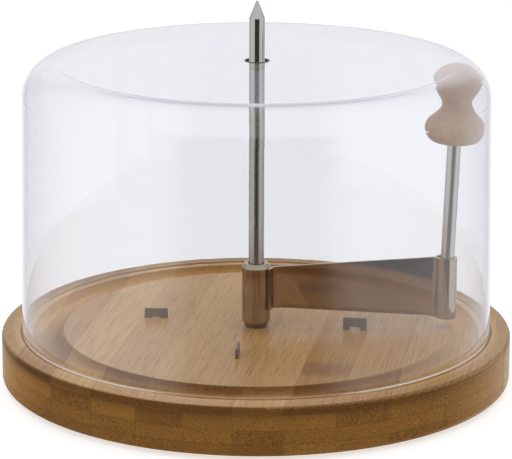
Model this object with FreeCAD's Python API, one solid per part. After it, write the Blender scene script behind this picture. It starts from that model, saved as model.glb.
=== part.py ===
# Cheese curler on a round bamboo board, under a clear dome.
# Millimetres, +Z up. The origin is on the surface that it stands on, below the spindle.
# The crank arm points along +X at rest, and the front of the board is at -Y.
import FreeCAD, Part
import os
from math import acos, asin, atan2, cos, degrees, radians, sin, sqrt, tan
from FreeCAD import Vector

os.makedirs("parts", exist_ok=True)

# Bamboo board
BOARD_DIA = 220.0
BOARD_THICK = 21.0
BOARD_EDGE_TOP = 1.6
BOARD_EDGE_BOTTOM = 2.4

# Flat rim that the dome stands on, and the cove groove inside it, an arc in section
RIM_OUTSIDE = 8.75
RIM_INSIDE = 3.15
GROOVE_WIDE = 13.3
GROOVE_DEEP = 3.2
GROOVE_LIP = 0.5

# Rubber feet, partly sunk in the underside
FOOT_NAMES = ("foot_back_right", "foot_back_left", "foot_front_left", "foot_front_right")
FOOT_FIRST_ANGLE = 45.0
FOOT_INSET = 24.0
FOOT_DIA = 14.0
FOOT_PROUD = 1.5
FOOT_SUNK = 1.0
FOOT_EDGE = 0.5
FOOT_GAP = 0.05

# Spindle, which stands out of the dome's hole, with its screw and washer
SPINDLE_DIA = 6.65
SPINDLE_OUT = 25.5
SPINDLE_CONE = 7.4
SPINDLE_TIP_R = 0.6
SPINDLE_FOOT_CHAMFER = 0.5
SPINDLE_GAP = 0.02
SCREW_DIA = 4.0
SCREW_IN_SPINDLE = 9.5
SCREW_HEAD_DIA = 8.0
SCREW_HEAD_HIGH = 2.5
SCREW_HEAD_FLAT = 0.6
SCREW_HEAD_SIDE = (0.92, 0.4)
SCREW_HEX = 3.0
SCREW_HEX_DEEP = 1.5
SCREW_END_CHAMFER = 0.5
SCREW_GAP = 0.03
SCREW_HOLE_GAP = 0.2
TAPPED_SPARE = 1.0
WASHER_DIA = 15.0
WASHER_THICK = 1.2
POCKET_GAP = 0.5
POCKET_DEEP = 5.0
WEB_THICK = 3.0

# Steel tabs that grip the cheese, driven into the board by hand, so no two stand alike.
# For each: angle and radius of its middle, turn away from the radius, height over the board.
TABS = {
    "tab_right": (-7.7, 43.1, -1.7, 5.3),
    "tab_back": (80.0, 43.7, 0.0, 4.4),
    "tab_left": (165.2, 45.3, 11.8, 4.3),
    "tab_front": (-100.4, 42.7, 6.0, 4.5),
}
TAB_LONG = 10.2
TAB_TALL = 10.6
TAB_THICK = 1.0
TAB_CORNER = 0.5
TAB_LEG = 2.8
TAB_BRIDGE = 3.8
TAB_ARCH = 1.2
TAB_POINT = 1.0
TAB_GAP = 0.05

# Hub: a steel tube, closed at the top to a ring round the spindle. It turns on two plastic
# bushes, the lower one with a flange under the tube.
HUB_WALL = 1.85
HUB_ABOVE_BLADE = 2.0
HUB_END = 2.2
HUB_END_GAP = 0.35
HUB_BEVEL_HIGH = 2.0
HUB_BEVEL_WIDE = 1.0
HUB_FOOT_HIGH = 2.2
HUB_FOOT_WIDE = 1.375
BUSH_WALL = 0.88
BUSH_LONG = 9.0
BUSH_MOUTH = 0.25
BUSH_FLANGE = 0.6
BUSH_FLANGE_INSET = 0.15
BUSH_SPINDLE_GAP = 0.05
BUSH_HUB_GAP = 0.04
BUSH_PRESS_GAP = 0.02

# Blade: one steel sheet, its inner end welded round the hub, its outer end rolled to an
# upright eye, which is wide enough for the leaning rod
SHEET = 1.2
BLADE_OVER_TABS = 0.8
BLADE_FALL = 3.8
BLADE_HIGH_INNER = 18.2
BLADE_HIGH_OUTER = 26.8
BLADE_WRAP = 30.0
BLADE_HUB_BEND = 2.0
BLADE_EYE_BEND = 2.5
EYE_WRAP = 322.0
WELD_GAP = 0.04
BEVEL_HIGH = 1.8
BEVEL_LEFT = 0.3

# Crank rod, which leans outwards a little, about square to the blade's lower edge. It has a
# thinner journal for the knob's bush, and the clip above the bush.
ROD_DIA = 6.0
ROD_LEAN = 2.0
ROD_EDGE = 0.4
ROD_RECESS = 0.4
JOURNAL_STEP = 0.75
JOURNAL_GAP = 0.05
JOURNAL_PAST_CLIP = 1.85
CLIP_WIDE = 1.65
CLIP_THICK = 0.5

# Turned knob, with radii, and heights above its underside along the rod. The shares say how
# far up each curve is half way in radius, and where the cap's round top begins.
KNOB_ABOVE = 82.7
KNOB_HIGH = 32.2
KNOB_FOOT_R = 9.6
KNOB_BELL_R = 13.0
KNOB_BELL_AT = 5.6
KNOB_NECK_R = 6.5
KNOB_NECK_AT = 16.0
KNOB_CAP_R = 10.3
KNOB_CAP_AT = 26.7
BELL_TO_NECK = 0.57
NECK_TO_CAP = 0.46
CAP_ROUND = (0.62, 0.72)
KNOB_PLAY = 0.15
KNOB_BUSH_WALL = 2.05
KNOB_BUSH_LONG = 16.5
KNOB_BORE_SPARE = 2.5

# Clear dome, which closes over the knob at any turn of the crank
DOME_WALL = 1.6
DOME_DRAFT = 1.0
DOME_SHOULDER = 14.5
DOME_EDGE = 0.5
DOME_HOLE_GAP = 1.65
DOME_OVER_KNOB = 0.9
DOME_BESIDE_KNOB = 0.5

# How far a cutting shape reaches past the face that it starts from
CUT_SPARE = 1.0

# Board and dome, from the outside in
BOARD_R = BOARD_DIA / 2
BOARD_LOW = FOOT_PROUD
BOARD_TOP = BOARD_LOW + BOARD_THICK
DOME_LEAN = tan(radians(DOME_DRAFT))
DOME_FOOT_R = BOARD_R - RIM_OUTSIDE
GROOVE_OUTER_R = DOME_FOOT_R - DOME_WALL - RIM_INSIDE
GROOVE_INNER_R = GROOVE_OUTER_R - GROOVE_WIDE
FOOT_PLACE_R = BOARD_R - FOOT_INSET

# Knob, and the arm that carries it round inside the dome. The arm is the rod's distance from
# the spindle at the board's top, and the knob stands farther out by the rod's lean.
KNOB_LOW = BOARD_TOP + KNOB_ABOVE
KNOB_TOP = KNOB_LOW + KNOB_HIGH
BELL_ABOVE = KNOB_ABOVE + KNOB_BELL_AT
LEAN = tan(radians(ROD_LEAN))
BELL_OUT = BELL_ABOVE * LEAN
DOME_TOP = KNOB_TOP + DOME_OVER_KNOB + DOME_WALL
DOME_R_AT_BELL = DOME_FOOT_R - DOME_WALL - BELL_ABOVE * DOME_LEAN
ARM = round(DOME_R_AT_BELL - DOME_BESIDE_KNOB - KNOB_BELL_R - BELL_OUT, 1)

# Spindle and what holds it
SPINDLE_R = SPINDLE_DIA / 2
SPINDLE_TIP = DOME_TOP + SPINDLE_OUT
WASHER_TOP = BOARD_LOW + POCKET_DEEP
WASHER_LOW = WASHER_TOP - WASHER_THICK
SPINDLE_LOW = WASHER_TOP + WEB_THICK
SCREW_HOLE_R = SCREW_DIA / 2 + SCREW_HOLE_GAP

# Hub and bushes, from the spindle out
BUSH_BORE_R = SPINDLE_R + BUSH_SPINDLE_GAP
BUSH_R = BUSH_BORE_R + BUSH_WALL
HUB_BORE_R = BUSH_R + BUSH_HUB_GAP
HUB_R = HUB_BORE_R + HUB_WALL
HUB_LOW = BOARD_TOP + BUSH_FLANGE

# Blade, whose lower edge passes just over the outer ends of the tabs
ROD_R = ROD_DIA / 2
HUB_WRAP_R = HUB_R + WELD_GAP + SHEET / 2
BLADE_END = ARM - ROD_R
BLADE_SLOPE = BLADE_FALL / (BLADE_END - HUB_R)
TAB_OUTER_R = max(radius for _, radius, _, _ in TABS.values()) + TAB_LONG / 2
TAB_HIGHEST = max(high for _, _, _, high in TABS.values())
BLADE_LOW_AT_TABS = BOARD_TOP + TAB_HIGHEST + BLADE_OVER_TABS
BLADE_LOW_AT_HUB = BLADE_LOW_AT_TABS + BLADE_SLOPE * (TAB_OUTER_R - HUB_R)
HUB_TOP = BLADE_LOW_AT_HUB + BLADE_HIGH_INNER + HUB_ABOVE_BLADE

# Eye, whose middle is where the rod's axis passes half way up it
EYE_MIDDLE = BLADE_LOW_AT_HUB - BLADE_FALL + BLADE_HIGH_OUTER / 2 - BOARD_TOP
EYE_X = ARM + EYE_MIDDLE * LEAN
EYE_R = ROD_R + BLADE_HIGH_OUTER / 2 * LEAN + WELD_GAP + SHEET / 2

# Knob's bush on the journal
JOURNAL_R = ROD_R - JOURNAL_STEP
KNOB_BUSH_BORE_R = JOURNAL_R + JOURNAL_GAP
KNOB_BUSH_R = KNOB_BUSH_BORE_R + KNOB_BUSH_WALL
CLIP_LOW = KNOB_LOW + KNOB_BUSH_LONG + KNOB_PLAY
JOURNAL_TOP = CLIP_LOW + CLIP_THICK + JOURNAL_PAST_CLIP


def save(shape, node):
    """Write one piece, after a look at what was made."""
    if not shape.isValid():
        raise ValueError(node + " is not a valid shape")
    shape.exportStep("parts/" + node + ".step")
    solids = len(shape.Solids)
    print(f"{node:14s} solids {solids}  volume {shape.Volume:10.1f} mm3")


def turn(edges):
    """A solid of revolution about Z from a closed outline in the XZ plane."""
    wire = Part.Wire(edges)
    face = Part.Face(wire)
    return face.revolve(Vector(0, 0, 0), Vector(0, 0, 1), 360)


def outline(points):
    """Straight edges through (radius, height) points, closed back to the first."""
    places = [Vector(r, 0, z) for r, z in points]
    places.append(places[0])
    return [Part.makeLine(a, b) for a, b in zip(places, places[1:])]


def line(a, b):
    return Part.makeLine(Vector(a[0], 0, a[1]), Vector(b[0], 0, b[1]))


def arc(a, middle, b):
    """An arc through three (radius, height) points."""
    points = [Vector(p[0], 0, p[1]) for p in (a, middle, b)]
    return Part.Arc(*points).toShape()


def corner(centre, radius, start, end):
    """An arc about a (radius, height) centre, from one angle to another in degrees."""
    angles = (start, (start + end) / 2, end)
    on = [(centre[0] + radius * cos(radians(a)), centre[1] + radius * sin(radians(a)))
          for a in angles]
    return arc(*on)


def circles(shape, radius, height):
    """The level round edges of one radius at one height."""
    return [e for e in shape.Edges
            if isinstance(e.Curve, Part.Circle)
            and abs(e.Curve.Radius - radius) < 1e-6
            and abs(e.Vertexes[0].Z - height) < 1e-6]


def ring(outer_r, inner_r, low, top):
    outer = Part.makeCylinder(outer_r, top - low, Vector(0, 0, low))
    inner = Part.makeCylinder(inner_r, top - low, Vector(0, 0, low))
    return outer.cut(inner)


def placed(shape, angle, radius=0.0):
    """A copy moved out along X and then turned about the spindle."""
    copy = shape.copy()
    copy.translate(Vector(radius, 0, 0))
    copy.rotate(Vector(0, 0, 0), Vector(0, 0, 1), angle)
    return copy


def on_rod(shape):
    """A copy of a shape about Z, moved out to the rod and leaned outwards with it."""
    copy = shape.copy()
    copy.translate(Vector(ARM, 0, 0))
    copy.rotate(Vector(ARM, 0, BOARD_TOP), Vector(0, 1, 0), ROD_LEAN)
    return copy


def feet_angles():
    """Each foot's name with its angle, evenly spaced round the spindle."""
    step = 360.0 / len(FOOT_NAMES)
    return [(name, FOOT_FIRST_ANGLE + step * i) for i, name in enumerate(FOOT_NAMES)]


def groove_section():
    """The groove's outer end, lowest point and inner end."""
    middle_r = (GROOVE_INNER_R + GROOVE_OUTER_R) / 2
    ends = ((GROOVE_OUTER_R, BOARD_TOP), (GROOVE_INNER_R, BOARD_TOP))
    return ends[0], (middle_r, BOARD_TOP - GROOVE_DEEP), ends[1]


def base_board():
    top_round = (BOARD_R - BOARD_EDGE_TOP, BOARD_TOP - BOARD_EDGE_TOP)
    low_round = (BOARD_R - BOARD_EDGE_BOTTOM, BOARD_LOW + BOARD_EDGE_BOTTOM)
    groove_out, groove_low, groove_in = groove_section()
    seat_r = SPINDLE_R + SPINDLE_GAP
    hole_r = SCREW_HOLE_R
    pocket_r = WASHER_DIA / 2 + POCKET_GAP
    edges = [
        line((seat_r, BOARD_TOP), (seat_r, SPINDLE_LOW)),
        line((seat_r, SPINDLE_LOW), (hole_r, SPINDLE_LOW)),
        line((hole_r, SPINDLE_LOW), (hole_r, WASHER_TOP)),
        line((hole_r, WASHER_TOP), (pocket_r, WASHER_TOP)),
        line((pocket_r, WASHER_TOP), (pocket_r, BOARD_LOW)),
        line((pocket_r, BOARD_LOW), (low_round[0], BOARD_LOW)),
        corner(low_round, BOARD_EDGE_BOTTOM, -90, 0),
        line((BOARD_R, low_round[1]), (BOARD_R, top_round[1])),
        corner(top_round, BOARD_EDGE_TOP, 0, 90),
        line((top_round[0], BOARD_TOP), groove_out),
        arc(groove_out, groove_low, groove_in),
        line(groove_in, (seat_r, BOARD_TOP)),
    ]
    board = turn(edges)
    lips = circles(board, GROOVE_INNER_R, BOARD_TOP) + circles(board, GROOVE_OUTER_R, BOARD_TOP)
    board = board.makeFillet(GROOVE_LIP, lips)
    cuts = [tab(name, TAB_GAP) for name in TABS]
    for _, angle in feet_angles():
        recess = Part.makeCylinder(FOOT_DIA / 2 + FOOT_GAP, FOOT_SUNK + CUT_SPARE,
                                   Vector(0, 0, BOARD_LOW - CUT_SPARE))
        cuts.append(placed(recess, angle, FOOT_PLACE_R))
    return board.cut(cuts)


def foot():
    radius = FOOT_DIA / 2
    top = FOOT_PROUD + FOOT_SUNK
    return turn([
        line((0, 0), (radius - FOOT_EDGE, 0)),
        corner((radius - FOOT_EDGE, FOOT_EDGE), FOOT_EDGE, -90, 0),
        line((radius, FOOT_EDGE), (radius, top)),
        line((radius, top), (0, top)),
        line((0, top), (0, 0)),
    ])


def spindle():
    """A ground rod with a point on top and a tapped hole below."""
    cone_low = SPINDLE_TIP - SPINDLE_CONE
    bore_r = SCREW_DIA / 2 + SCREW_GAP
    bore_top = SPINDLE_LOW + SCREW_IN_SPINDLE + TAPPED_SPARE
    foot_r = SPINDLE_R - SPINDLE_FOOT_CHAMFER
    # The cone's side just touches the small ball that rounds the point.
    ball_z = SPINDLE_TIP - SPINDLE_TIP_R
    slope = atan2(cone_low - ball_z, SPINDLE_R)
    far = sqrt(SPINDLE_R ** 2 + (ball_z - cone_low) ** 2)
    touch = slope + acos(SPINDLE_TIP_R / far)
    on_ball = (SPINDLE_TIP_R * cos(touch), ball_z + SPINDLE_TIP_R * sin(touch))
    return turn([
        line((bore_r, SPINDLE_LOW), (foot_r, SPINDLE_LOW)),
        line((foot_r, SPINDLE_LOW), (SPINDLE_R, SPINDLE_LOW + SPINDLE_FOOT_CHAMFER)),
        line((SPINDLE_R, SPINDLE_LOW + SPINDLE_FOOT_CHAMFER), (SPINDLE_R, cone_low)),
        line((SPINDLE_R, cone_low), on_ball),
        corner((0, ball_z), SPINDLE_TIP_R, degrees(touch), 90),
        line((0, SPINDLE_TIP), (0, bore_top + bore_r)),
        line((0, bore_top + bore_r), (bore_r, bore_top)),
        line((bore_r, bore_top), (bore_r, SPINDLE_LOW)),
    ])


def spindle_washer():
    return ring(WASHER_DIA / 2, SCREW_HOLE_R, WASHER_LOW, WASHER_TOP)


def spindle_screw():
    """A button-head screw from below, with a hexagon socket."""
    head_r = SCREW_HEAD_DIA / 2
    head_low = WASHER_LOW - SCREW_HEAD_HIGH
    shank_r = SCREW_DIA / 2
    end = SPINDLE_LOW + SCREW_IN_SPINDLE
    chamfer = SCREW_END_CHAMFER
    flat = (head_r * SCREW_HEAD_FLAT, head_low)
    side = (head_r * SCREW_HEAD_SIDE[0], head_low + SCREW_HEAD_HIGH * SCREW_HEAD_SIDE[1])
    screw = turn([
        line((0, head_low), flat),
        arc(flat, side, (head_r, WASHER_LOW)),
        line((head_r, WASHER_LOW), (shank_r, WASHER_LOW)),
        line((shank_r, WASHER_LOW), (shank_r, end - chamfer)),
        line((shank_r, end - chamfer), (shank_r - chamfer, end)),
        line((shank_r - chamfer, end), (0, end)),
        line((0, end), (0, head_low)),
    ])
    hex_r = SCREW_HEX / sqrt(3)
    corners = [Vector(hex_r * cos(radians(60 * i)), hex_r * sin(radians(60 * i)),
                      head_low - CUT_SPARE)
               for i in range(7)]
    deep = SCREW_HEX_DEEP + CUT_SPARE
    socket = Part.Face(Part.makePolygon(corners)).extrude(Vector(0, 0, deep))
    return screw.cut(socket)


def tab(name, grown=0.0):
    """One staple in its place, cut from sheet: a bridge over a notch, and two pointed legs.

    Grown by the gap round it, the same shape is what it presses out of the board.
    """
    angle, radius, turned, high = TABS[name]
    top = BOARD_TOP + high + grown
    notch = BOARD_TOP + high - TAB_BRIDGE - grown
    low = BOARD_TOP + high - TAB_TALL - grown
    shoulder = low + TAB_POINT
    end = TAB_LONG / 2 + grown
    leg = TAB_LONG / 2 - TAB_LEG - grown
    point = TAB_LONG / 2 - TAB_LEG / 2
    thick = TAB_THICK + 2 * grown
    points = [
        (-end, shoulder), (-point, low), (-leg, shoulder), (-leg, notch),
        (leg, notch), (leg, shoulder), (point, low), (end, shoulder),
        (end, top), (-end, top),
    ]
    face = Part.Face(Part.Wire(outline(points)))
    plate = face.extrude(Vector(0, thick, 0))
    plate.translate(Vector(0, -thick / 2, 0))
    plate = plate.makeFillet(TAB_CORNER + grown, cross_edges(plate, top))
    plate = plate.makeFillet(TAB_ARCH - grown, cross_edges(plate, notch))
    return placed(placed(plate, turned), angle, radius)


def cross_edges(plate, height):
    """The edges that run through a tab's sheet at one height."""
    across = [e for e in plate.Edges if e.BoundBox.YLength > TAB_THICK / 2]
    return [e for e in across
            if abs(e.BoundBox.ZMin - height) < 1e-6 and abs(e.BoundBox.ZMax - height) < 1e-6]


def thrust_bush():
    """The flanged plastic bush that the hub tube stands on and turns round."""
    flange_r = HUB_R - HUB_FOOT_WIDE - BUSH_FLANGE_INSET
    top = HUB_LOW + BUSH_LONG
    return turn(outline([
        (BUSH_BORE_R + BUSH_MOUTH, BOARD_TOP), (flange_r, BOARD_TOP),
        (flange_r, HUB_LOW), (BUSH_R, HUB_LOW),
        (BUSH_R, top - BUSH_MOUTH), (BUSH_R - BUSH_MOUTH, top), (BUSH_BORE_R, top),
        (BUSH_BORE_R, BOARD_TOP + BUSH_MOUTH),
    ]))


def upper_bush():
    """The plain bush pressed into the hub tube, up to its closed end."""
    outer = HUB_BORE_R - BUSH_PRESS_GAP
    top = HUB_TOP - HUB_END
    low = top - BUSH_LONG
    return turn(outline([
        (BUSH_BORE_R, low), (outer - BUSH_MOUTH, low), (outer, low + BUSH_MOUTH),
        (outer, top), (BUSH_BORE_R + BUSH_MOUTH, top), (BUSH_BORE_R, top - BUSH_MOUTH),
    ]))


def hub_tube():
    """A tube bored from below, with a ring left at its top, and a bevel at either end."""
    mouth_r = SPINDLE_R + HUB_END_GAP
    end_low = HUB_TOP - HUB_END
    return turn(outline([
        (HUB_BORE_R, HUB_LOW), (HUB_R - HUB_FOOT_WIDE, HUB_LOW),
        (HUB_R, HUB_LOW + HUB_FOOT_HIGH), (HUB_R, HUB_TOP - HUB_BEVEL_HIGH),
        (HUB_R - HUB_BEVEL_WIDE, HUB_TOP), (mouth_r, HUB_TOP),
        (mouth_r, end_low), (HUB_BORE_R, end_low),
    ]))


def flat_arc(centre, radius, start, end):
    """An arc in the XY plane about an (x, y) centre, between two angles in degrees."""
    on = [Vector(centre[0] + radius * cos(radians(a)), centre[1] + radius * sin(radians(a)), 0)
          for a in (start, (start + end) / 2, end)]
    return Part.Arc(*on).toShape()


def sheet_side(side):
    """One face of the blade's sheet from above, behind it for side +1 and before it for -1.

    The sheet runs round the front of the hub, turns out along X, dips to the front of the
    rod and rolls round it. The bends curve the other way from the two wraps, so a wrap's
    radius shrinks where a bend's grows.
    """
    half = side * SHEET / 2
    hub_bend_x = sqrt((HUB_WRAP_R + BLADE_HUB_BEND) ** 2 - BLADE_HUB_BEND ** 2)
    hub_angle = degrees(asin(-BLADE_HUB_BEND / (HUB_WRAP_R + BLADE_HUB_BEND)))
    eye_dx = sqrt((EYE_R + BLADE_EYE_BEND) ** 2 - BLADE_EYE_BEND ** 2)
    eye_angle = degrees(atan2(-BLADE_EYE_BEND, -eye_dx)) % 360
    eye_bend_x = EYE_X - eye_dx
    return [
        flat_arc((0, 0), HUB_WRAP_R - half, hub_angle - BLADE_WRAP, hub_angle),
        flat_arc((hub_bend_x, -BLADE_HUB_BEND), BLADE_HUB_BEND + half, 180 + hub_angle, 90),
        Part.makeLine(Vector(hub_bend_x, half, 0), Vector(eye_bend_x, half, 0)),
        flat_arc((eye_bend_x, -BLADE_EYE_BEND), BLADE_EYE_BEND + half, 90, eye_angle - 180),
        flat_arc((EYE_X, 0), EYE_R - half, eye_angle, eye_angle + EYE_WRAP),
    ]


def blade_low(x):
    """Height of the cutting edge along the arm."""
    return BLADE_LOW_AT_HUB - BLADE_SLOPE * (x - HUB_R)


def blade_top(x):
    share = (x - HUB_R) / (BLADE_END - HUB_R)
    high = BLADE_HIGH_INNER + (BLADE_HIGH_OUTER - BLADE_HIGH_INNER) * share
    return blade_low(x) + high


def blade_outline():
    """The blade seen from the front: a trapezoid along the arm, its top square to the rod."""
    far_x = ARM + ROD_DIA
    half = ROD_DIA + HUB_R
    peak = (BLADE_END, blade_top(BLADE_END))
    far_top = peak[1] - (far_x - BLADE_END) * LEAN
    side = Part.Face(Part.Wire(outline([
        (0, blade_low(0)), (far_x, blade_low(far_x)), (far_x, far_top), peak,
        (0, blade_top(0)),
    ])))
    slab = side.extrude(Vector(0, 2 * half, 0))
    slab.translate(Vector(0, -half, 0))
    return slab


def ground_bevel():
    """What is ground off the front of the sheet's lower edge, between the two bends."""
    start_x = HUB_R + 2 * BLADE_HUB_BEND
    end_x = EYE_X - EYE_R - BLADE_EYE_BEND
    z = blade_low(start_x)
    face = -SHEET / 2
    edge = SHEET / 2 - BEVEL_LEFT
    spare = SHEET
    section = [(face - spare, z - spare), (face - spare, z + BEVEL_HIGH), (face, z + BEVEL_HIGH),
               (edge, z), (edge, z - spare), (face - spare, z - spare)]
    wire = Part.makePolygon([Vector(start_x, y, height) for y, height in section])
    return Part.Face(wire).extrude(Vector(end_x - start_x, 0, blade_low(end_x) - z))


def blade():
    back = sheet_side(1)
    front = sheet_side(-1)
    ends = [Part.makeLine(back[0].Vertexes[0].Point, front[0].Vertexes[0].Point),
            Part.makeLine(back[-1].Vertexes[-1].Point, front[-1].Vertexes[-1].Point)]
    wire = Part.Wire(Part.__sortEdges__(back + front + ends))
    highest = blade_top(BLADE_END) - BOARD_TOP
    sheet = Part.Face(wire).extrude(Vector(0, 0, 2 * highest))
    sheet.translate(Vector(0, 0, BOARD_TOP))
    return sheet.common(blade_outline()).cut(ground_bevel())


def crank_rod():
    """A straight rod with a shoulder, and the thinner journal above that."""
    low = blade_low(ARM) + ROD_RECESS
    shoulder = KNOB_LOW - KNOB_PLAY
    rod = turn(outline([
        (0, low), (ROD_R - ROD_EDGE, low), (ROD_R, low + ROD_EDGE),
        (ROD_R, shoulder - ROD_EDGE), (ROD_R - ROD_EDGE, shoulder), (JOURNAL_R, shoulder),
        (JOURNAL_R, JOURNAL_TOP - ROD_EDGE), (JOURNAL_R - ROD_EDGE, JOURNAL_TOP),
        (0, JOURNAL_TOP),
    ]))
    return on_rod(rod)


def knob_clip():
    """The spring washer pressed on the journal above the knob's bush."""
    clip = ring(JOURNAL_R + CLIP_WIDE, JOURNAL_R + WELD_GAP, CLIP_LOW, CLIP_LOW + CLIP_THICK)
    return on_rod(clip)


def knob_bush():
    bush = ring(KNOB_BUSH_R, KNOB_BUSH_BORE_R, KNOB_LOW, KNOB_LOW + KNOB_BUSH_LONG)
    return on_rod(bush)


def knob():
    """A turned wooden knob: a bell, a waist and a mushroom cap, bored from below."""
    bore = KNOB_BUSH_R + BUSH_PRESS_GAP
    deep = JOURNAL_TOP + KNOB_BORE_SPARE
    bell = KNOB_LOW + KNOB_BELL_AT
    neck = KNOB_LOW + KNOB_NECK_AT
    cap = KNOB_LOW + KNOB_CAP_AT
    top = KNOB_TOP
    stations = [
        (KNOB_BELL_R, bell),
        ((KNOB_BELL_R + KNOB_NECK_R) / 2, bell + BELL_TO_NECK * (neck - bell)),
        (KNOB_NECK_R, neck),
        ((KNOB_NECK_R + KNOB_CAP_R) / 2, neck + NECK_TO_CAP * (cap - neck)),
        (KNOB_CAP_R, cap),
        (KNOB_CAP_R * CAP_ROUND[0], cap + CAP_ROUND[1] * (top - cap)),
        (0, top),
    ]
    curve = Part.BSplineCurve()
    curve.interpolate([Vector(r, 0, z) for r, z in stations],
                      InitialTangent=Vector(0, 0, 1), FinalTangent=Vector(-1, 0, 0))
    # The underside's arc is upright where it meets the widest part of the bell.
    flare = KNOB_BELL_R - KNOB_FOOT_R
    under_r = (flare ** 2 + KNOB_BELL_AT ** 2) / (2 * flare)
    under_end = degrees(atan2(-KNOB_BELL_AT, under_r - flare))
    body = turn([
        line((bore, KNOB_LOW), (KNOB_FOOT_R, KNOB_LOW)),
        corner((KNOB_BELL_R - under_r, bell), under_r, under_end, 0),
        curve.toShape(),
        line((0, top), (0, deep)),
        line((0, deep), (bore, deep)),
        line((bore, deep), (bore, KNOB_LOW)),
    ])
    return on_rod(body)


def dome():
    """The moulded cover: a drafted wall, a round shoulder and a flat top with a hole."""
    draft = radians(DOME_DRAFT)
    bend = DOME_TOP - DOME_SHOULDER
    wall_top_r = DOME_FOOT_R - (bend - BOARD_TOP) * DOME_LEAN
    centre = (wall_top_r - DOME_SHOULDER * cos(draft), bend)
    start = (centre[0] + DOME_SHOULDER * cos(draft), bend + DOME_SHOULDER * sin(draft))
    inner = DOME_SHOULDER - DOME_WALL
    inner_start = (centre[0] + inner * cos(draft), bend + inner * sin(draft))
    inner_foot = DOME_FOOT_R - DOME_WALL / cos(draft)
    hole = SPINDLE_R + DOME_HOLE_GAP
    edge = DOME_EDGE
    edge_z = BOARD_TOP + edge
    return turn([
        line((inner_foot + edge, BOARD_TOP), (DOME_FOOT_R - edge, BOARD_TOP)),
        line((DOME_FOOT_R - edge, BOARD_TOP), (DOME_FOOT_R - edge * DOME_LEAN, edge_z)),
        line((DOME_FOOT_R - edge * DOME_LEAN, edge_z), start),
        corner(centre, DOME_SHOULDER, DOME_DRAFT, 90),
        line((centre[0], DOME_TOP), (hole, DOME_TOP)),
        line((hole, DOME_TOP), (hole, DOME_TOP - DOME_WALL)),
        line((hole, DOME_TOP - DOME_WALL), (centre[0], DOME_TOP - DOME_WALL)),
        corner(centre, inner, 90, DOME_DRAFT),
        line(inner_start, (inner_foot - edge * DOME_LEAN, edge_z)),
        line((inner_foot - edge * DOME_LEAN, edge_z), (inner_foot + edge, BOARD_TOP)),
    ])


save(base_board(), "base_board")
for foot_name, foot_angle in feet_angles():
    save(placed(foot(), foot_angle, FOOT_PLACE_R), foot_name)
save(spindle(), "spindle")
save(spindle_washer(), "spindle_washer")
save(spindle_screw(), "spindle_screw")
for tab_name in TABS:
    save(tab(tab_name), tab_name)
save(thrust_bush(), "thrust_bush")
save(upper_bush(), "upper_bush")
save(hub_tube(), "hub_tube")
save(blade(), "blade")
save(crank_rod(), "crank_rod")
save(knob_clip(), "knob_clip")
save(knob_bush(), "knob_bush")
save(knob(), "knob")
save(dome(), "dome")
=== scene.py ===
# %% [markdown]
# # Cheese curler: light, finish and small details
# Every hard part of the curler is already modelled at its real size: the bamboo board with its
# cove groove, the steel spindle, the crank with its scraping blade, the turned knob and the
# clear dome. This lesson loads those parts as they are and gives them what a drawing can't:
# wood that is wood all the way through, steel that has been ground, and a dome that bends
# what is seen through it.
# %% Load the model
from math import cos, radians, sin

import bpy
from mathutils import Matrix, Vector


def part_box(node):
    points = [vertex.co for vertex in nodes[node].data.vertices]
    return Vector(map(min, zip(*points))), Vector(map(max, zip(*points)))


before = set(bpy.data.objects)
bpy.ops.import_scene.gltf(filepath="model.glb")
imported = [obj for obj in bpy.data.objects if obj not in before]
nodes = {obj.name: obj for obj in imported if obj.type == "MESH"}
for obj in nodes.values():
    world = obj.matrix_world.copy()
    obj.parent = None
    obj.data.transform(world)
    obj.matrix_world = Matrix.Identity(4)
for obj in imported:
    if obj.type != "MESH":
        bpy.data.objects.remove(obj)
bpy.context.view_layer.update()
MM = 0.001

# %% [markdown]
# ## The camera
# A product is best seen from well back through a long lens, so that a round board isn't
# stretched towards the viewer. The place could be found by eye, by dragging the camera until
# the outlines match. It is written here as the numbers that a tripod would have: the distance
# in front of the spindle, the height over the table, the downward tilt and the lens, because
# they can then be checked one by one. The board's rim and the dome's foot fix all four.
# %% Place the camera
CAMERA_BACK = 1.1086
CAMERA_HIGH = 0.3672
CAMERA_SIDE = -0.00016
CAMERA_TILT = 15.22
CAMERA_ROLL = 0.2
SENSOR_WIDE = 36.0
LENS = 187.75
NEAREST = 0.01
FARTHEST = 50.0

camera_data = bpy.data.cameras.new("camera")
camera_data.sensor_width = SENSOR_WIDE
camera_data.lens = LENS
camera_data.clip_start = NEAREST
camera_data.clip_end = FARTHEST
camera = bpy.data.objects.new("camera", camera_data)
camera.location = (CAMERA_SIDE, -CAMERA_BACK, CAMERA_HIGH)
camera.rotation_euler = (radians(90 - CAMERA_TILT), 0, 0)
camera.rotation_euler.rotate_axis("Z", radians(CAMERA_ROLL))
bpy.context.scene.collection.objects.link(camera)
bpy.context.scene.camera = camera
print("camera", [round(v, 4) for v in camera.location], "lens", LENS)

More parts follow.
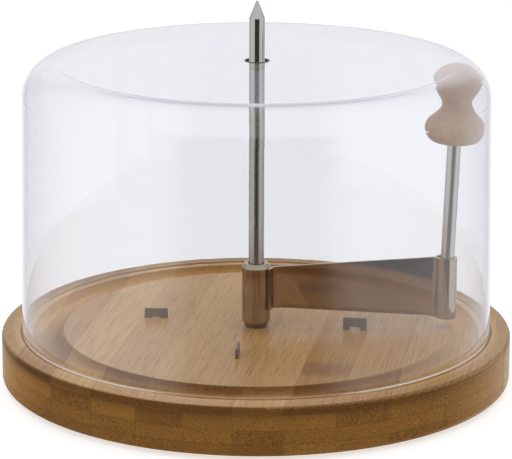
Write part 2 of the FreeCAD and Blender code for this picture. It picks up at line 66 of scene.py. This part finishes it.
# %% [markdown]
# ## Shader sums
# A pattern such as wood grain is arithmetic on a point's place. Node graphs for it soon grow
# past reading, so a socket is wrapped in a small class that understands plus, minus, times and
# the comparisons, and the sums can be written as they would be on paper.
# %% A socket that can be added and multiplied
class Value:
    """One output of a shader node, for use in plain Python sums."""

    def __init__(self, graph, socket):
        self.graph = graph
        self.socket = socket

    def math(self, operation, *terms):
        return self.graph.node("ShaderNodeMath", {"operation": operation}, terms)

    def __add__(self, other):
        return self.math("ADD", self, other)

    def __sub__(self, other):
        return self.math("SUBTRACT", self, other)

    def __rsub__(self, other):
        return self.math("SUBTRACT", other, self)

    def __mul__(self, other):
        return self.math("MULTIPLY", self, other)

    def __truediv__(self, other):
        return self.math("DIVIDE", self, other)

    def __lt__(self, other):
        return self.math("LESS_THAN", self, other)

    def __gt__(self, other):
        return self.math("GREATER_THAN", self, other)

    __radd__ = __add__
    __rmul__ = __mul__

    def floor(self):
        return self.math("FLOOR", self)

    def root(self):
        return self.math("SQRT", self)

    def size(self):
        return self.math("ABSOLUTE", self)

    def ease(self, low, high):
        """0 below low, 1 above high and a soft step between them."""
        return self.graph.node("ShaderNodeMapRange", {"interpolation_type": "SMOOTHSTEP"},
                               {"Value": self, "From Min": low, "From Max": high})


# %% A graph that is built node by node
MIX_SHARE, MIX_A, MIX_B = 0, 6, 7
MIXED_COLOUR = 2


class Graph:
    """A node tree, with short names for the nodes that the finishes use."""

    def __init__(self, tree):
        self.tree = tree

    def node(self, kind, settings=None, sockets=None, out=0):
        """Add a node: its settings first, then its inputs by place or by name."""
        made = self.tree.nodes.new(kind)
        for key, value in (settings or {}).items():
            setattr(made, key, value)
        pairs = sockets.items() if isinstance(sockets, dict) else enumerate(sockets or ())
        for key, value in pairs:
            if isinstance(value, Value):
                self.tree.links.new(value.socket, made.inputs[key])
            else:
                made.inputs[key].default_value = value
        return Value(self, made.outputs[out])

    def parts(self, vector):
        """The three numbers of a vector."""
        return [self.node("ShaderNodeSeparateXYZ", None, [vector], out=axis) for axis in "XYZ"]

    def mix(self, share, a, b):
        """A colour between a and b."""
        sockets = {MIX_SHARE: share, MIX_A: a, MIX_B: b}
        return self.node("ShaderNodeMix", {"data_type": "RGBA"}, sockets, out=MIXED_COLOUR)

    def report(self, made):
        """Say what was made and how far the graph has grown."""
        print(made, "made, graph has", len(self.tree.nodes), "nodes")


# %% [markdown]
# ## The light
# The object stands in a white tent that is open only towards the camera. Polished steel and
# clear plastic show their surroundings rather than their own colour, so that opening matters
# as much as the lamp: it is the dark line down the middle of the spindle, and at either side
# of it the tent lays a pale veil over the dome. The world's colour could be one flat white, but
# then the spindle would look like paint. Here a dark wedge is cut out of the white in front,
# up to a little over the camera.
#
# The cloth at the back is white low down, where it is seen through the dome and mirrored in its
# flat top, and grey higher up, where the front of the rounded shoulder mirrors it. Two grey
# curtains hang at the back's sides. The dome's left and right edges mirror them, and without
# their grey a clear edge would vanish against the white.
# %% Make the tent
TENT_WHITE = (1.0, 1.0, 1.0, 1)
TENT_OPENING = (0.07, 0.068, 0.068, 1)
OPENING_SIDES = (0.74, 0.87)
OPENING_TOP = (0.15, 0.45)
CLOTH_LOW = (1.0, 0.995, 1.02, 1)
CLOTH_HIGH = (0.62, 0.62, 0.70, 1)
CLOTH_SIDES = (0.15, 0.45)
CLOTH_FADE = (0.35, 0.60)
CLOTH_TOP = (0.88, 0.96)
CURTAIN = (0.66, 0.65, 0.70, 1)
CURTAIN_SIDES = (0.28, 0.5)
TENT_STRENGTH = 1.0

world = bpy.data.worlds.new("tent")
bpy.context.scene.world = world
world.use_nodes = True
tent = Graph(world.node_tree)
right, back, above = tent.parts(tent.node("ShaderNodeTexCoord", out="Generated"))
opening = (back * -1).ease(*OPENING_SIDES) * (1 - above.ease(*OPENING_TOP))
cloth_here = back.ease(*CLOTH_SIDES) * (1 - above.ease(*CLOTH_TOP))
cloth = tent.mix(above.ease(*CLOTH_FADE), CLOTH_LOW, CLOTH_HIGH)
cloth = tent.mix(right.size().ease(*CURTAIN_SIDES), cloth, CURTAIN)
tent_colour = tent.mix(opening, tent.mix(cloth_here, TENT_WHITE, cloth), TENT_OPENING)
background = world.node_tree.nodes["Background"]
background.inputs["Strength"].default_value = TENT_STRENGTH
world.node_tree.links.new(tent_colour.socket, background.inputs["Color"])
tent.report("tent")

# %% [markdown]
# One wide soft lamp hangs overhead. It lights the wood from above and is hidden from mirrors,
# because its square outline would show on the dome and the blade.
# %% Hang the lamp
LAMP_SIZE = 1.4
LAMP_HIGH = 1.3
LAMP_BACK = 0.25
LAMP_POWER = 6.0

lamp_data = bpy.data.lights.new("overhead", "AREA")
lamp_data.size = LAMP_SIZE
lamp_data.energy = LAMP_POWER
lamp = bpy.data.objects.new("overhead", lamp_data)
lamp.location = (0, LAMP_BACK, LAMP_HIGH)
lamp.visible_glossy = False
bpy.context.scene.collection.objects.link(lamp)
bpy.context.scene.view_settings.view_transform = "Standard"
print("lamp", LAMP_SIZE, "m wide,", LAMP_POWER, "watts")


# %% [markdown]
# ## Finishes
# A finish is one Principled shader with its pattern. All patterns here are solid: they are
# worked out from a point's place in millimetres inside the piece, not from a picture wrapped
# round it, because turned wood and ground steel show the inside of the block.
# %% A material that is built node by node
class Finish(Graph):
    """A material round one Principled shader."""

    def __init__(self, name, **sockets):
        self.material = bpy.data.materials.new(name)
        self.material.use_nodes = True
        super().__init__(self.material.node_tree)
        self.tree.nodes.clear()
        self.output = self.tree.nodes.new("ShaderNodeOutputMaterial")
        spaced = {key.replace("_", " "): value for key, value in sockets.items()}
        self.shader = self.node("ShaderNodeBsdfPrincipled", None, spaced)
        self.tree.links.new(self.shader.socket, self.output.inputs["Surface"])

    def set(self, **sockets):
        """Link the shader's inputs, with an underscore for each space in a name."""
        for name, value in sockets.items():
            entry = self.shader.socket.node.inputs[name.replace("_", " ")]
            self.tree.links.new(value.socket, entry)

    def place(self, stretch=(1, 1, 1), turn=0.0):
        """The point's place on the part in millimetres, turned about Z and stretched."""
        point = self.node("ShaderNodeTexCoord", out="Object")
        in_mm = self.node("ShaderNodeMapping", None, {"Vector": point, "Scale": (1 / MM,) * 3})
        turned = self.node("ShaderNodeMapping", None,
                           {"Vector": in_mm, "Rotation": (0, 0, radians(turn))})
        return self.node("ShaderNodeMapping", None, {"Vector": turned, "Scale": stretch})

    def noise(self, vector, scale=1.0, detail=2.0, roughness=0.5, warp=0.0):
        return self.node("ShaderNodeTexNoise", None, {
            "Vector": vector, "Scale": scale, "Detail": detail,
            "Roughness": roughness, "Distortion": warp})

    def bump(self, height, deep):
        """A normal from a height between 0 and 1 that stands for so many metres."""
        return self.node("ShaderNodeBump", None, {
            "Height": height, "Distance": deep, "Strength": 1.0})


# %% Put a finish on a part
def give(finish, *names):
    """Put one finish on each named part of the model."""
    for name in names:
        for slot in nodes[name].material_slots:
            slot.material = finish.material
    print(finish.material.name, "on", ", ".join(names))


# %% [markdown]
# ## Bamboo board
# Bamboo board is glued up from strips about 20 mm wide in four layers, and the cove is turned
# into it afterwards, so the groove and the wall cut across every strip. A flat picture wrapped
# round the board would show grain running round its edge, which no real board has. Here the
# wood is solid: the colour is worked out from the point's place inside the block, so fibres
# show as long streaks on top, as dots on the end grain in front, and joints meet at edges.
# %% Strips and layers
GRAIN_TURN = 9.5
STRIP_WIDE = 20.0
STRIP_START = 8.8
LAYER_JOINTS = (19.1, 12.8, 7.0)

bamboo = Finish("bamboo", Specular_IOR_Level=0.08, Coat_Roughness=0.25, Coat_IOR=1.45)
wood = bamboo.place(turn=GRAIN_TURN)
across, along, up = bamboo.parts(wood)
strip_place = (across - STRIP_START) / STRIP_WIDE
strip = strip_place.floor()
in_strip = strip_place - strip
layer = sum((up < joint_high) for joint_high in LAYER_JOINTS)
print("strips", STRIP_WIDE, "mm wide, layer joints at", LAYER_JOINTS)

# %% [markdown]
# Each block between two joints comes from another cane, so it has its own tone. White noise
# gives one number per block. Its seed was chosen so that the light and dark blocks fall much
# as they do on the real board: a light one left of the hub, a dark one in front of it.
# %% Each block has its own tone
STRIP_SEED = 54880.25

block = bamboo.node("ShaderNodeCombineXYZ", None, [strip, layer, STRIP_SEED])
tone = bamboo.node("ShaderNodeTexWhiteNoise", {"noise_dimensions": "3D"}, [block])
bamboo.report("tone of each block")

# %% [markdown]
# Glue shows as a dark hairline where two strips meet, and a little more between two layers.
# It could be cut into the shape, but it is a stain a fifth of a millimetre wide, so it is one
# more mask. The distance to the nearest joint gives it.
# %% Glue joints
JOINT_WIDE = 0.22
STRIP_GLUE = 0.35
LAYER_GLUE = 0.5

edge_gap = (0.5 - (in_strip - 0.5).size()) * STRIP_WIDE
strip_joint = 1 - edge_gap.ease(0.0, JOINT_WIDE)
layer_gap = (up - LAYER_JOINTS[0]).size()
for joint_high in LAYER_JOINTS[1:]:
    layer_gap = layer_gap.math("MINIMUM", layer_gap, (up - joint_high).size())
layer_joint = 1 - layer_gap.ease(0.0, JOINT_WIDE)
joint = strip_joint.math("MAXIMUM", strip_joint * STRIP_GLUE, layer_joint * LAYER_GLUE)
bamboo.report("glue joints")

# %% [markdown]
# ## Fibres
# Bamboo has no year rings. Its dark fibres are hair-thin bundles that run the whole length of
# a strip, close together near the cane's skin and sparse near its hollow. Noise that is
# stretched along the grain and squeezed across it gives them, and the same noise cut across
# gives the dots of the end grain. Each block slides the noise by its own amount, so that no
# fibre runs on through a joint.
# %% Streaks, bundles, hairs and dots
BLOCK_SLIDE = (37.0, 91.0, 53.0)

slide = bamboo.node("ShaderNodeCombineXYZ", None, [tone * mm for mm in BLOCK_SLIDE])
own_wood = bamboo.node("ShaderNodeVectorMath", {"operation": "ADD"}, [wood, slide])


def fibres(stretch, detail, roughness=0.5, warp=0.0):
    """Noise in one block's own wood, stretched across, along and up."""
    squeezed = bamboo.node("ShaderNodeMapping", None, {"Vector": own_wood, "Scale": stretch})
    return bamboo.noise(squeezed, detail=detail, roughness=roughness, warp=warp)


streaks = fibres(stretch=(0.9, 0.010, 0.9), detail=3.0)
bundles = fibres(stretch=(3.0, 0.045, 3.0), detail=2.0)
hairs = fibres(stretch=(6.0, 0.090, 6.0), detail=1.0)
dots = fibres(stretch=(1.9, 0.060, 1.9), detail=1.0)
cloud = fibres(stretch=(0.05, 0.02, 0.05), detail=2.0)
bamboo.report("fibres")

# %% [markdown]
# The board shows its strips' sides on top and their ends in front and behind. How much a
# surface faces along the grain tells which of the two it is. The cane's skin was at one edge
# of each strip or the other, and the bundles are denser on that side.
# %% Which way the wood is cut
CUT_ACROSS = (0.0, 0.7)
SKIN_SIDE = (0.3, 0.7)

facing = bamboo.node("ShaderNodeNewGeometry", out="Normal")
grain_way = (sin(radians(GRAIN_TURN)), cos(radians(GRAIN_TURN)), 0)
end_grain = bamboo.node("ShaderNodeVectorMath", {"operation": "DOT_PRODUCT"},
                        [facing, grain_way], out="Value").size()
cut_across = end_grain.ease(*CUT_ACROSS)
near_skin = (in_strip - tone.ease(*SKIN_SIDE)).size()
print("grain runs along", [round(v, 3) for v in grain_way])

# %% [markdown]
# ## Colours of the wood
# The tone of a block, its streaks and a slow cloud through it make one number, and that number
# picks a colour between a dark and a light one. The strips left of the hub, the back of the
# board and the left end of its wall are painted paler. This is painted light for the veil and
# sheen that the bright tent lays on the left and at the back, and for the side light on the
# wall's end.
# %% Light and dark wood
TONE_SHARE = 0.5
STREAK_SHARE = 0.5
CLOUD_SHARE = 0.25
TONE_DROP = 0.13
LEFT_PALER = 0.16
LEFT_FADE = (70.0, 100.0)
BACK_PALER = 0.14
BACK_FADE = (10.0, 90.0)
WALL_PALER = 0.5
WALL_FADE = (66.0, 98.0)
WALL_HIGH = 20.0

radius = (across * across + along * along).root()
mixed_tone = tone * TONE_SHARE + streaks * STREAK_SHARE + cloud * CLOUD_SHARE - TONE_DROP
# Painted light: the left strips, the back of the board and the wall's left end are made paler
# where the tent's veil, sheen and side light fall.
painted_light_left = (strip < 0) * (1 - radius.ease(*LEFT_FADE)) * LEFT_PALER
painted_sheen_back = along.ease(*BACK_FADE) * BACK_PALER
painted_light_wall_end = (across * -1).ease(*WALL_FADE) * (up < WALL_HIGH) * WALL_PALER
bamboo.report("tone of the wood")

# %% [markdown]
# End grain drinks more oil than the sides of the strips and is darker, with a dot for each
# bundle. Near the top of the wall it is painted darker still, as painted shade under the rim.
# %% Sides of the strips and end grain
FACE_LIGHT = (0.51, 0.312, 0.116, 1)
FACE_DARK = (0.31, 0.146, 0.036, 1)
END_LIGHT = (0.31, 0.148, 0.030, 1)
END_DARK = (0.085, 0.034, 0.006, 1)
# One dark colour serves for the wear on the rim and for the painted shade at the wall's top and
# at the dome's seat.
WEAR_AND_SHADE_DARK = (0.03, 0.010, 0.002, 1)
END_TONE = 0.7
END_DOTS = 1.3
END_DROP = 0.55
WALL_SHADE_UP = (15.0, 20.5)
WALL_SHADE_OUTSIDE = 100.0
WALL_SHADE_SHARE = 0.46

face = bamboo.mix(mixed_tone + (painted_light_left + painted_sheen_back) + painted_light_wall_end, FACE_DARK, FACE_LIGHT)
dotted_tone = mixed_tone * END_TONE + dots * END_DOTS + painted_light_wall_end - END_DROP
end = bamboo.mix(dotted_tone, END_DARK, END_LIGHT)
# Painted shade: the end grain darkens towards the top of the wall, under the rim.
painted_wall_top_shade = up.ease(*WALL_SHADE_UP) * (radius > WALL_SHADE_OUTSIDE) * WALL_SHADE_SHARE
end = bamboo.mix(painted_wall_top_shade, end, WEAR_AND_SHADE_DARK)
colour = bamboo.mix(cut_across, face, end)
bamboo.report("sides and ends")

# %% [markdown]
# ## The cove
# The cove is turned with a round cutter, which meets the fibres at every angle, so its wood is
# neither side nor end grain. Its colour carries painted light and shade. Away from its front
# inner side it is painted paler, as painted light. In front, its inner side faces the dark
# opening of the tent and is painted brown as painted shade. That shade grows lighter outwards
# and is darker on dark blocks.
# %% Painted light and shade in the cove
COVE_FROM = 83.2
COVE_TO = 96.5
COVE_EDGE = 1.0
COVE_LIT = (0.62, 0.34, 0.12, 1)
COVE_SHADE = (0.14, 0.048, 0.008, 1)
COVE_LIT_SHARE = 0.30
SHADE_FULL_TO = 4.0
SHADE_LOSS = 0.75
SHADE_FRONT = (-30.0, 40.0)
SHADE_MOST = 0.80
SHADE_TONE = 0.95

in_cove = radius.ease(COVE_FROM, COVE_FROM + COVE_EDGE) * (radius < COVE_TO)
inner_side = 1 - radius.ease(COVE_FROM + SHADE_FULL_TO, COVE_TO) * SHADE_LOSS
in_front = (along * -1).ease(*SHADE_FRONT)
# Painted light: the cove outside its front inner side is made paler.
colour = bamboo.mix(in_cove * (1 - inner_side * in_front) * COVE_LIT_SHARE, colour, COVE_LIT)
# Painted shade: the front inner side of the cove is darkened.
cove_painted_shade = in_cove * inner_side * in_front * (SHADE_MOST - mixed_tone * SHADE_TONE)
colour = bamboo.mix(cove_painted_shade, colour, COVE_SHADE)
print("cove from", COVE_FROM, "to", COVE_TO, "mm from the spindle")

# %% [markdown]
# ## Rim and seat
# The rim outside the dome is what hands hold. It has darkened all round, and three times as
# much at the two sides as in front. A thin line of painted shadow follows the dome's foot at
# the sides, in the corner of its seat.
# %% Marks of use and the painted shadow at the seat
RIM_WEAR = (102.0, 106.0)
RIM_HIGH = 20.0
RIM_SIDES = (50.0, 95.0)
RIM_SHARE = 0.10
RIM_MORE = 0.20
SEAT_INNER = (100.9, 101.3)
SEAT_OUTER = (101.8, 102.3)
SEAT_SIDES = (45.0, 80.0)
SEAT_SHARE = 0.75

on_rim = radius.ease(*RIM_WEAR) * (up > RIM_HIGH)
gripped = across.size().ease(*RIM_SIDES) * RIM_MORE + RIM_SHARE
colour = bamboo.mix(on_rim * gripped, colour, WEAR_AND_SHADE_DARK)
seat_edge = radius.ease(*SEAT_INNER) * (1 - radius.ease(*SEAT_OUTER))
# Painted shadow: a thin dark line along the dome's foot at the sides.
seat_shadow = seat_edge * across.size().ease(*SEAT_SIDES) * SEAT_SHARE
colour = bamboo.mix(seat_shadow, colour, WEAR_AND_SHADE_DARK)
bamboo.report("rim and seat")

# %% [markdown]
# ## Dark fibres
# The bundles are dashes of brown over all of this, and the hairs between them are finer and
# fainter. They could be drawn first, but the marks of use would then hide them, and on the
# real board they show through.
# %% Dashes and hairs
BUNDLE_DARK = (0.14, 0.055, 0.014, 1)
DASH_EDGES = (0.56, 0.68)
DASH_SHARE = 0.38
SKIN_MORE = 0.08
HAIR_EDGES = (0.5, 0.75)
HAIR_SHARE = 0.22

dashes = (bundles + near_skin * SKIN_MORE).ease(*DASH_EDGES) * DASH_SHARE
fine_hairs = hairs.ease(*HAIR_EDGES) * HAIR_SHARE
colour = bamboo.mix(dashes + fine_hairs, colour, BUNDLE_DARK)
bamboo.report("dark fibres")

# %% [markdown]
# A cane has a knuckle every 20 to 30 cm, where its fibres swirl. One strip right of the hub
# shows such a place near the groove: a reddish, mottled patch as wide as the strip. Noise that
# is warped by more noise gives the swirl.
# %% The knuckle in one strip
KNUCKLE_STRIP = 1
KNUCKLE_AT = -55.0
KNUCKLE_HALF = 12.0
KNUCKLE_FULL = 0.4
KNUCKLE_RED = (0.14, 0.045, 0.020, 1)
KNUCKLE_SHARE = 0.85
SWIRL_EDGES = (0.46, 0.58)
SWIRL_SHARE = 0.85
SWIRL_LEAST = 0.15

knuckle_here = ((strip - KNUCKLE_STRIP).size() < 0.5) * (layer < 0.5)
from_middle = (along - KNUCKLE_AT).size()
knuckle_near = 1 - from_middle.ease(KNUCKLE_FULL * KNUCKLE_HALF, KNUCKLE_HALF)
swirl = fibres(stretch=(1.3, 0.8, 1.3), detail=2.0, roughness=0.6, warp=2.2)
mottled = SWIRL_LEAST + swirl.ease(*SWIRL_EDGES) * SWIRL_SHARE
knuckle = knuckle_here * knuckle_near * mottled
colour = bamboo.mix(knuckle * KNUCKLE_SHARE, colour, KNUCKLE_RED)
bamboo.report("knuckle")

# %% [markdown]
# ## Gloss and relief of the board
# The board is oiled, not lacquered. A thin coat shines on the strips' sides, and end grain and
# the cove have drunk it. The bundles stand out by a few hundredths of a millimetre, and the
# glue joints lie as much below the wood.
# %% Finish the board
JOINT_DARK = (0.07, 0.032, 0.012, 1)
COAT = 0.55
COVE_DRY = 0.85
WOOD_DULL = 0.55
BUNDLES_DULL = 0.2
HAIRS_HIGH = 0.5
BOARD_RELIEF = 0.00006

bamboo.set(Base_Color=bamboo.mix(joint, colour, JOINT_DARK),
           Coat_Weight=(1 - cut_across) * (1 - in_cove * COVE_DRY) * COAT,
           Roughness=WOOD_DULL + bundles * BUNDLES_DULL,
           Normal=bamboo.bump(hairs * HAIRS_HIGH + bundles - joint, BOARD_RELIEF))
give(bamboo, "base_board")

# %% [markdown]
# ## Feet
# The feet are die-cut rubber, black and matte. Rubber that stands on a table for years blooms
# grey in specks, so one noise drives its colour, its dullness and its relief together.
# %% Rubber
RUBBER_BLACK = (0.012, 0.012, 0.012, 1)
RUBBER_BLOOM = (0.035, 0.035, 0.035, 1)
RUBBER_DULL = 0.6
BLOOM_DULL = 0.3
RUBBER_RELIEF = 0.0001

rubber = Finish("foot_rubber")
bloom = rubber.noise(rubber.place(), scale=3.0, detail=4.0)
rubber.set(Base_Color=rubber.mix(bloom, RUBBER_BLACK, RUBBER_BLOOM),
           Roughness=RUBBER_DULL + bloom * BLOOM_DULL,
           Normal=rubber.bump(bloom, RUBBER_RELIEF))
give(rubber, *[name for name in nodes if name.startswith("foot_")])


# %% [markdown]
# ## Steel
# Steel shows the last tool that touched it. All of it is metal with fine marks, most of them
# long one way and short the other, and a slow change of polish over the piece. Only the marks,
# the gloss and the colour differ, so one helper makes every kind. The hub and the blade are
# painted browner than clean steel, and this brown is a painted reflection of the wood that they
# mirror.
# %% A helper for steel
DULLER = 0.86
POLISH_SCALE = 0.12


def steel(name, colour, gloss, marks, deep, spread=0.08):
    """Metal whose polish varies in marks of the given stretch along X, Y and Z."""
    made = Finish(name, Metallic=1.0)
    fine = made.noise(made.place(marks), detail=3.0)
    broad = made.noise(made.place(), POLISH_SCALE, detail=3.0)
    dull = tuple(part * DULLER for part in colour)
    made.set(Base_Color=made.mix(broad, dull + (1,), colour + (1,)),
             Roughness=gloss + fine * spread + broad * spread,
             Normal=made.bump(fine, deep))
    return made


# %% [markdown]
# The crank rod is drawn through a die and a little dull, with its marks along it. The hub is
# turned, so its marks run round it. The blade is rolled sheet, bright enough to mirror the
# board. The tabs are punched and left rough, and the screw, washer and clip are zinc-plated.
# %% Rod, hub, blade, tabs and fasteners
drawn = steel("drawn_steel", colour=(0.58, 0.56, 0.55), gloss=0.22,
              marks=(5.0, 5.0, 0.08), deep=0.00001)
# The brown in the hub's and the blade's colours is a painted reflection of the wood.
turned = steel("turned_steel", colour=(0.45, 0.365, 0.29), gloss=0.05,
               marks=(0.3, 0.3, 8.0), deep=0.000004, spread=0.04)
rolled = steel("rolled_steel", colour=(0.455, 0.37, 0.29), gloss=0.03,
               marks=(0.1, 6.0, 6.0), deep=0.000002, spread=0.03)
punched = steel("punched_steel", colour=(0.30, 0.275, 0.25), gloss=0.36,
                marks=(3.0, 3.0, 3.0), deep=0.00003)
zinc = steel("zinc_plate", colour=(0.55, 0.56, 0.58), gloss=0.30,
             marks=(2.0, 2.0, 2.0), deep=0.00002)
give(drawn, "crank_rod")
give(turned, "hub_tube")
give(rolled, "blade")
give(punched, "tab_right", "tab_back", "tab_left", "tab_front")
give(zinc, "spindle_screw", "spindle_washer", "knob_clip")

# %% [markdown]
# ## Spindle
# The spindle is ground and polished stock. Cheese and the hub's bushes rub its lower part, so
# the polish is softer there, and the dark line down its middle is less sharp than on the tip,
# which stands out of the dome. The wear starts a little over the dome's top and is full 28 mm
# further down.
# %% Wear on the spindle
WORN_BELOW = (118.0, 146.0)
POLISHED = 0.06
WORN_DULL = 0.12
RUBBED_DULL = 0.18

spindle_steel = steel("spindle_steel", colour=(0.49, 0.475, 0.45), gloss=0.05,
                      marks=(6.0, 6.0, 0.08), deep=0.000004)
rubbed = spindle_steel.noise(spindle_steel.place((1.5, 1.5, 0.25)), detail=3.0)
spindle_up = spindle_steel.parts(spindle_steel.place())[2]
worn = 1 - spindle_up.ease(*WORN_BELOW)
spindle_steel.set(Roughness=POLISHED + worn * (WORN_DULL + rubbed * RUBBED_DULL))
give(spindle_steel, "spindle")

# %% [markdown]
# ## Bushes
# The bushes are turned nylon, grey and waxy. Only the dark line under the hub shows of them.
# %% Nylon
NYLON_DARK = (0.10, 0.10, 0.105, 1)
NYLON_LIGHT = (0.16, 0.16, 0.165, 1)
NYLON_DULL = 0.4
GRAINS_DULL = 0.2
NYLON_RELIEF = 0.00002

nylon = Finish("grey_nylon")
grains = nylon.noise(nylon.place(), scale=2.5, detail=3.0)
nylon.set(Base_Color=nylon.mix(grains, NYLON_DARK, NYLON_LIGHT),
          Roughness=NYLON_DULL + grains * GRAINS_DULL,
          Normal=nylon.bump(grains, NYLON_RELIEF))
give(nylon, "thrust_bush", "upper_bush", "knob_bush")

# %% [markdown]
# ## Turned knob
# The knob is beech, turned with its grain upright. Beech has a pinkish ground with small dark
# flecks, and the lathe leaves faint rings. All three are noise with another stretch: long and
# upright for the grain, short and upright for the flecks, flat and thin for the rings.
# %% Beech
BEECH_DARK = (0.29, 0.182, 0.104, 1)
BEECH_LIGHT = (0.45, 0.302, 0.188, 1)
FLECK_DARK = (0.20, 0.11, 0.06, 1)
FLECK_EDGES = (0.62, 0.75)
FLECK_SHARE = 0.6
FLECK_DEEP = 0.5
BEECH_DULL = 0.32
GRAIN_DULL = 0.16
BEECH_RELIEF = 0.00003

beech = Finish("turned_beech", IOR=1.5)
grain = beech.noise(beech.place((0.9, 0.9, 0.05)), detail=3.0)
flecks = beech.noise(beech.place((3.0, 3.0, 0.35)), detail=1.0).ease(*FLECK_EDGES)
rings = beech.noise(beech.place((0.05, 0.05, 4.0)), detail=2.0)
ground = beech.mix(grain, BEECH_DARK, BEECH_LIGHT)
beech.set(Base_Color=beech.mix(flecks * FLECK_SHARE, ground, FLECK_DARK),
          Roughness=BEECH_DULL + grain * GRAIN_DULL,
          Normal=beech.bump(rings + flecks * -FLECK_DEEP, BEECH_RELIEF))
give(beech, "knob")

# %% [markdown]
# ## Clear dome
# The dome is one moulding with a real wall of 1.6 mm, so light bends at its outside and again
# at its inside. That bending makes the soft line where its shoulder begins and the bright line
# along its foot, which in front is helped by a painted highlight. A thin sheet of see-through
# paint would show neither. The plastic is perfectly smooth, with a very slow waviness from the
# mould.
# %% Moulded plastic
DOME_TINT = (0.865, 0.872, 0.890, 1)
FLOW_SCALE = 0.03
FLOW_RELIEF = 0.0001

clear = Finish("clear_plastic", Base_Color=DOME_TINT, Roughness=0.0,
               Transmission_Weight=1.0, IOR=1.49)
in_dome = clear.place()
dome_x, dome_y, dome_z = clear.parts(in_dome)
flow = clear.noise(in_dome, FLOW_SCALE)
clear.set(Normal=clear.bump(flow, FLOW_RELIEF))
clear.report("moulded plastic")

# %% [markdown]
# The drilled hole isn't polished. A cut face in clear plastic scatters light, so the hole
# shows as a dark ring, and it is wider in front, where lifting the dome over the spindle has
# scuffed its edge.
# %% The drilled hole
HOLE_EDGE = 5.1
SCUFF = 5.35
SCUFF_FRONT = 1.0

at_hole = (dome_x * dome_x + dome_y * dome_y) < HOLE_EDGE * HOLE_EDGE
scuff_y = dome_y + SCUFF_FRONT
scuffed = (dome_x * dome_x + scuff_y * scuff_y) < SCUFF * SCUFF
at_hole = at_hole.math("MAXIMUM", at_hole, scuffed)
print("hole's cut face reaches", HOLE_EDGE, "mm, scuffed in front to", SCUFF + SCUFF_FRONT)

# %% [markdown]
# The foot's lowest 0.65 mm are chafed from being set down. They are painted the colour of the
# wood that the dome stands on, which stands in for the wood seen through them, instead of
# shining like a mirror all round. At both sides of the front they are painted white, as a
# painted highlight.
# %% The chafed foot
FOOT_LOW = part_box("dome")[0].z / MM
FOOT_CHAFED = 0.65
HIGHLIGHT_FRONT = (8.0, 34.0)
HIGHLIGHT_SIDES = (28.0, 50.0)
STANDS_ON_WOOD = (0.46, 0.29, 0.15, 1)
FOOT_HIGHLIGHT = (0.95, 0.93, 0.92, 1)

at_foot = dome_z < FOOT_LOW + FOOT_CHAFED
# Painted highlight: white at both sides of the front of the foot. Elsewhere the foot is painted
# the wood's colour in place of the wood seen through it.
painted_highlight = (dome_y * -1).ease(*HIGHLIGHT_FRONT) * dome_x.size().ease(*HIGHLIGHT_SIDES)
foot_colour = clear.mix(painted_highlight, STANDS_ON_WOOD, FOOT_HIGHLIGHT)
print("dome's foot stands", round(FOOT_LOW, 2), "mm over the table")

# %% [markdown]
# The drilled hole and the chafed foot share one matte shader with fine marks in it. It takes
# the place of the clear one wherever the two masks say so.
# %% Cut and chafed faces
DRILLED = (0.035, 0.035, 0.045, 1)
MARK_DARK = (0.02, 0.02, 0.02, 1)
MARK_SHARE = 0.3
CUT_DULL = 0.4

marks = clear.noise(in_dome, scale=2.0)
cut_colour = clear.mix(at_foot, DRILLED, foot_colour)
cut_face = clear.node("ShaderNodeBsdfPrincipled", None, {
    "Base Color": clear.mix(marks * MARK_SHARE, cut_colour, MARK_DARK),
    "Roughness": CUT_DULL + marks * MARK_SHARE})
is_cut = at_hole.math("MAXIMUM", at_hole, at_foot)
surface = clear.node("ShaderNodeMixShader", None, [is_cut, clear.shader, cut_face])
clear.report("cut and chafed faces")

# %% [markdown]
# The bending plastic is only for what the camera sees. Light from the lamp and the tent is let
# straight through to the board, because a lamp is seldom found by chance through two bends,
# and the wood would come out speckled. The steel is to mirror the board and the tent rather
# than the inside of the dome, so the dome is hidden from mirrors.
# %% Light passes straight through
DOME_LETS_THROUGH = (0.99, 0.99, 1.0, 1)

rays = clear.tree.nodes.new("ShaderNodeLightPath")
through = clear.node("ShaderNodeBsdfTransparent", None, {"Color": DOME_LETS_THROUGH})
for kind in ("Is Shadow Ray", "Is Diffuse Ray"):
    surface = clear.node("ShaderNodeMixShader", None,
                         [Value(clear, rays.outputs[kind]), surface, through])
clear.tree.links.new(surface.socket, clear.output.inputs["Surface"])
nodes["dome"].visible_glossy = False
give(clear, "dome")

# %% [markdown]
# ## The table
# The curler stands on a sheet of white acrylic that is lit from below, as in a catalogue
# studio, so that hardly any shadow is left on it. The steel and the dome would mirror that
# sheet, but in such a studio it ends close to the object, so they are shown the tent instead.
# %% Floor
FLOOR_WIDE = 12.0
FLOOR_GREY = (0.5, 0.5, 0.5, 1)
FLOOR_DULL = 0.9
GLOW_WHITE = (1, 1, 1, 1)
FLOOR_GLOW = 0.6

bpy.ops.object.select_all(action="DESELECT")
bpy.ops.mesh.primitive_plane_add(size=FLOOR_WIDE, location=(0, 0, 0))
floor = bpy.context.object
floor.name = "floor"
table = Finish("white_acrylic", Base_Color=FLOOR_GREY, Roughness=FLOOR_DULL,
               Emission_Color=GLOW_WHITE, Emission_Strength=FLOOR_GLOW)
floor.data.materials.append(table.material)
floor.visible_glossy = False
print("floor", FLOOR_WIDE, "m wide, glow", FLOOR_GLOW)
